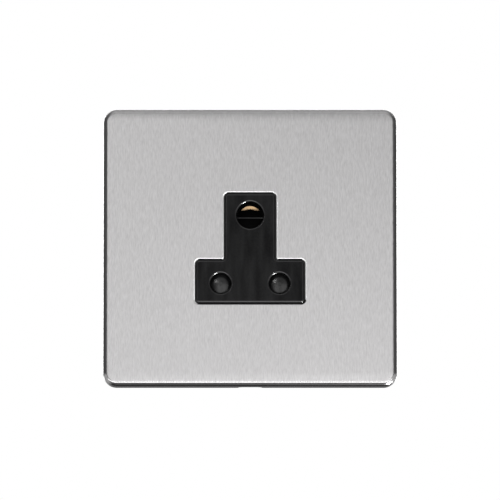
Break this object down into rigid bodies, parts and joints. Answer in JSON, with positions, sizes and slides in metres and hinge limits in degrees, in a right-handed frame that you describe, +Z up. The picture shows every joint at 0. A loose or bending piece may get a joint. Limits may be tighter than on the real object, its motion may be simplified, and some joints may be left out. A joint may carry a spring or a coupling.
{
  "type": "round pin wall socket",
  "caption": "Wall socket with shuttered round pin holes in a black T shaped insert, on a clip-on brushed steel plate with rounded corners and a moulded terminal box behind.",
  "frame": {"origin": "on the wall plane, midway between the two box screw holes", "axes": "+X right as seen from the room, +Z up, -Y out of the wall towards the room"},
  "size_m": [0.095, 0.0252, 0.09],
  "materials": {
    "satin_steel": "satin, fine vertical brushing",
    "spring_steel": "plain spring steel",
    "zinc_steel": "bright zinc plate",
    "black_moulding": "fine satin moulding",
    "black_slide": "fine moulded",
    "base_moulding": "matt moulded",
    "brass": "pressed brass",
    "brass_screw": "turned brass",
    "rivet_steel": "plated"
  },
  "bodies": {
    "housing": {"front_plate": "satin_steel", "plate_clips": "spring_steel", "mounting_frame": "zinc_steel", "socket_front": "black_moulding", "shutter_spring": "spring_steel", "shutter_retainer": "black_slide", "retainer_screws": "zinc_steel", "base_moulding": "base_moulding", "line_contact": "brass", "neutral_contact": "brass", "earth_contact": "brass", "line_contact_spring": "spring_steel", "neutral_contact_spring": "spring_steel", "earth_contact_spring": "spring_steel", "line_terminal": "brass", "neutral_terminal": "brass", "earth_terminal": "brass", "terminal_screws": "brass_screw", "assembly_screws": "zinc_steel", "earth_strap": "brass", "strap_rivet": "rivet_steel"},
    "shutter": {"shutter": "black_slide"}
  },
  "joints": [
    {"name": "shutter_slide", "type": "slide", "parent": "housing", "child": "shutter", "axis": [0, 0, -1], "range_m": [0, 0.0064], "stiffness_N_per_m": 80, "springref_m": -0.004, "deforming": ["shutter_spring"]}
  ]
}
